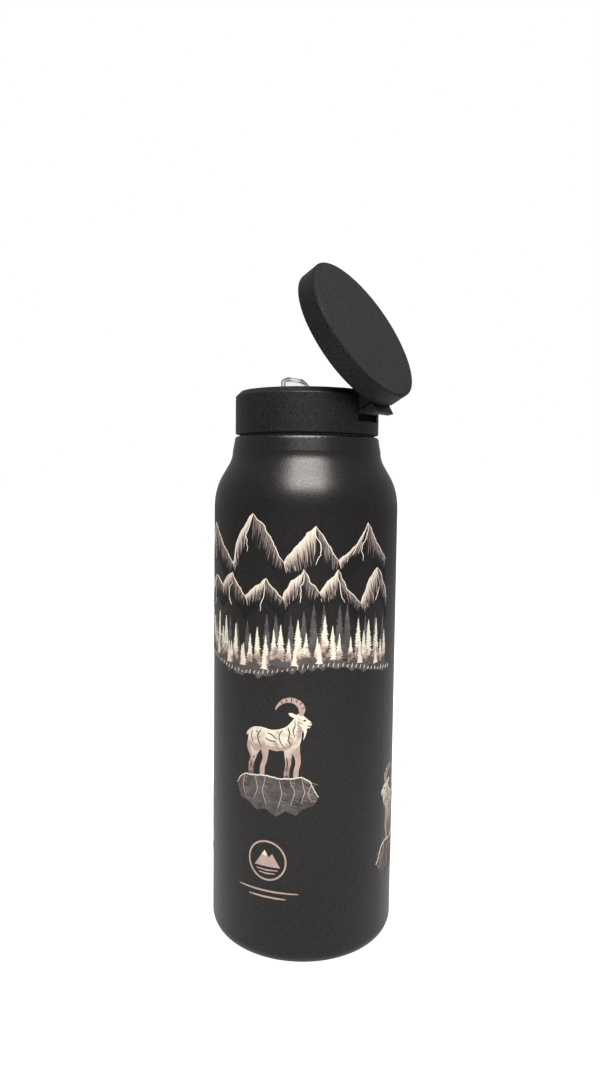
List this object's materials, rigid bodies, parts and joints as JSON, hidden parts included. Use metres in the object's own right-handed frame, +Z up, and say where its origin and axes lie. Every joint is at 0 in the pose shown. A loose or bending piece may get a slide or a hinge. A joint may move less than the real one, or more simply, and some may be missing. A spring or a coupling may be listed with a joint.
{
  "type": "insulated water bottle",
  "caption": "Vacuum-insulated steel water bottle with a screw-on straw lid, a flip-up clear spout and a hinged magnetic disc that holds a phone.",
  "frame": {"origin": "centre of the foot pad's underside, where the bottle stands", "axes": "+Z up along the bottle's axis, +X towards the disc's hinge, +Y along the hinge pin"},
  "size_m": [0.0816, 0.078, 0.2821],
  "materials": {
    "powder_coat": "matte black powder coat, fine grain",
    "steel_inside": "electropolished, satin",
    "steel_small": "satin",
    "getter_alloy": "sintered, rough",
    "glass_frit": "fused frit, dull",
    "base_rubber": "matte silicone",
    "seal_rubber": "satin silicone",
    "lid_plastic": "fine moulded grain",
    "deck_plastic": "fine moulded grain",
    "foam": "closed-cell foam",
    "clear_plastic": "clear, polished",
    "straw_plastic": "translucent, satin",
    "disc_plastic": "fine moulded grain",
    "hinge_metal": "black anodised, satin",
    "screw_steel": "blackened",
    "magnet": "nickel plated",
    "pad_rubber": "soft-touch silicone"
  },
  "bodies": {
    "bottle": {"outer_shell": "powder_coat", "inner_liner": "steel_inside", "base_plate": "steel_small", "seal_bead": "glass_frit", "getter": "getter_alloy", "base_pad": "base_rubber"},
    "seal": {"neck_seal": "seal_rubber"},
    "lid": {"lid_ring": "lid_plastic", "lid_core": "deck_plastic", "plug_bottom": "deck_plastic", "lid_foam": "foam", "straw_stem": "deck_plastic", "stem_ring": "seal_rubber", "straw": "straw_plastic", "vent_valve": "seal_rubber", "spout_cradle": "deck_plastic", "cradle_screws": "screw_steel", "spout_pins": "steel_small", "spout_seat": "seal_rubber", "hinge_pin": "steel_small"},
    "spout": {"spout": "clear_plastic"},
    "disc": {"disc_shell": "disc_plastic", "hinge_arm": "hinge_metal", "arm_screws": "screw_steel", "friction_bushes": "steel_small", "magnet_segments": "magnet", "backing_ring": "steel_small", "magnet_carrier": "deck_plastic", "face_plate": "steel_small", "face_pad": "pad_rubber"}
  },
  "joints": [
    {"name": "lid_lift", "type": "slide", "parent": "bottle", "child": "seal", "axis": [0, 0, 1], "range_m": [0, 0.00602]},
    {"name": "lid_turn", "type": "hinge", "parent": "seal", "child": "lid", "pos_m": [0, 0, 0.2], "axis": [0, 0, 1], "range_deg": [0, 540]},
    {"name": "spout_flip", "type": "hinge", "parent": "lid", "child": "spout", "pos_m": [-0.0063, 0, 0.2238], "axis": [0, 1, 0], "range_deg": [-90, 0]},
    {"name": "disc_flip", "type": "hinge", "parent": "lid", "child": "disc", "pos_m": [0.0274, 0, 0.2234], "axis": [0, 1, 0], "range_deg": [-60.66, 40]}
  ],
  "couplings": [
    {"joint": "lid_lift", "follows": "lid_turn", "m_per_rad": 0.00063662}
  ]
}
